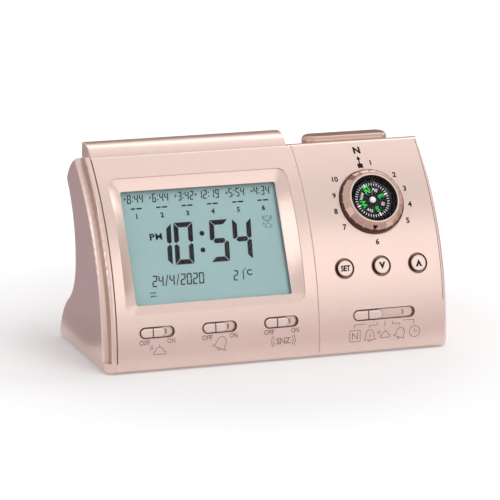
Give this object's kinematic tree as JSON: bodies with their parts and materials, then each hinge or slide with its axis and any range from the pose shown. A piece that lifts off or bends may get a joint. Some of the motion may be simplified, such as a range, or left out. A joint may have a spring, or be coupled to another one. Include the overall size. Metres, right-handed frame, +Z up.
{
  "type": "azan alarm clock",
  "caption": "Leaning table alarm clock with a sunken LCD, a compass in a faceted city dial, round buttons, slide switches, a snooze bar and a light button, battery powered.",
  "frame": {"origin": "on the table, under the middle of the clock", "axes": "+X to the right for someone who faces the display, +Y from the display to the back, +Z up"},
  "size_m": [0.15, 0.0616, 0.0848],
  "materials": {
    "case_plastic": "satin rose-gold metallic",
    "key_plastic": "satin pale rose-gold",
    "clear_window": "clear moulded window",
    "display_glass": "pale teal reflective display",
    "white_plastic": "moulded",
    "black_plastic": "moulded",
    "switch_case": "tinned",
    "circuit_board": "green solder mask",
    "soft_rubber": "soft matt",
    "plain_steel": "zinc plated",
    "contact_steel": "nickel plated",
    "contact_brass": "bare",
    "cell_jacket": "glossy printed jacket",
    "speaker_steel": "galvanised",
    "magnet_steel": "dull nickel",
    "cone_paper": "pressed",
    "lead_jacket": "PVC sleeve",
    "ribbon_jacket": "PVC flat cable"
  },
  "bodies": {
    "case": {"front_housing": "case_plastic", "rear_cover": "case_plastic", "display_lens": "clear_window", "lcd_glass": "display_glass", "lcd_frame": "white_plastic", "zebra_strips": "soft_rubber", "main_board": "circuit_board", "chip_cover": "black_plastic", "board_components": "black_plastic", "dial_board": "circuit_board", "button_board": "circuit_board", "switch_board": "circuit_board", "top_board": "circuit_board", "board_screws": "plain_steel", "button_switches": "black_plastic", "top_switches": "black_plastic", "slide_switches": "switch_case", "bar_springs": "plain_steel", "battery_front": "cell_jacket", "battery_rear": "cell_jacket", "contact_plates": "contact_steel", "contact_springs": "contact_steel", "case_screws": "plain_steel", "rubber_feet": "soft_rubber", "speaker_frame": "speaker_steel", "speaker_cone": "cone_paper", "speaker_magnet": "magnet_steel", "speaker_leads": "lead_jacket", "battery_leads": "lead_jacket", "ribbon_cables": "ribbon_jacket"},
    "snooze_key": {"snooze_bar": "case_plastic", "snooze_plunger": "black_plastic"},
    "light_key": {"light_button": "case_plastic", "light_plunger": "black_plastic"},
    "set_key": {"set_button": "key_plastic", "set_plunger": "black_plastic"},
    "down_key": {"down_button": "key_plastic", "down_plunger": "black_plastic"},
    "up_key": {"up_button": "key_plastic", "up_plunger": "black_plastic"},
    "azan_slider": {"azan_knob": "key_plastic", "azan_lever": "black_plastic"},
    "alarm_slider": {"alarm_knob": "key_plastic", "alarm_lever": "black_plastic"},
    "snooze_slider": {"snooze_knob": "key_plastic", "snooze_lever": "black_plastic"},
    "mode_slider": {"mode_knob": "key_plastic", "mode_lever": "black_plastic"},
    "city_dial": {"dial_ring": "case_plastic", "compass_case": "black_plastic", "compass_dome": "clear_window", "compass_pin": "plain_steel", "dial_clip": "plain_steel", "dial_wiper": "contact_brass"},
    "compass_rose": {"compass_card": "black_plastic", "card_cap": "white_plastic", "card_magnet": "magnet_steel"},
    "door": {"battery_door": "case_plastic"}
  },
  "joints": [
    {"name": "snooze_press", "type": "slide", "parent": "case", "child": "snooze_key", "axis": [0, 0, -1], "range_m": [0, 0.0007], "stiffness_N_per_m": 1500, "springref_m": -0.0005, "deforming": ["bar_springs"]},
    {"name": "light_press", "type": "slide", "parent": "case", "child": "light_key", "axis": [0, 0, -1], "range_m": [0, 0.0007], "stiffness_N_per_m": 1500, "springref_m": -0.0005},
    {"name": "set_press", "type": "slide", "parent": "case", "child": "set_key", "axis": [0, 0.9426, -0.3338], "range_m": [0, 0.0005], "stiffness_N_per_m": 1500, "springref_m": -0.0005},
    {"name": "down_press", "type": "slide", "parent": "case", "child": "down_key", "axis": [0, 0.9426, -0.3338], "range_m": [0, 0.0005], "stiffness_N_per_m": 1500, "springref_m": -0.0005},
    {"name": "up_press", "type": "slide", "parent": "case", "child": "up_key", "axis": [0, 0.9426, -0.3338], "range_m": [0, 0.0005], "stiffness_N_per_m": 1500, "springref_m": -0.0005},
    {"name": "azan_slide", "type": "slide", "parent": "case", "child": "azan_slider", "axis": [1, 0, 0], "range_m": [0, 0.0038]},
    {"name": "alarm_slide", "type": "slide", "parent": "case", "child": "alarm_slider", "axis": [1, 0, 0], "range_m": [0, 0.0038]},
    {"name": "snooze_slide", "type": "slide", "parent": "case", "child": "snooze_slider", "axis": [1, 0, 0], "range_m": [0, 0.0038]},
    {"name": "mode_slide", "type": "slide", "parent": "case", "child": "mode_slider", "axis": [1, 0, 0], "range_m": [0, 0.0138]},
    {"name": "dial_turn", "type": "hinge", "parent": "case", "child": "city_dial", "pos_m": [0.045, -0.0124, 0.05944], "axis": [0, -0.8271, 0.5621], "continuous": true},
    {"name": "compass_turn", "type": "hinge", "parent": "city_dial", "child": "compass_rose", "pos_m": [0.045, -0.0124, 0.05944], "axis": [0, -0.8271, 0.5621], "continuous": true},
    {"name": "door_slide", "type": "slide", "parent": "case", "child": "door", "axis": [0, 1, 0], "range_m": [0, 0.01]}
  ]
}
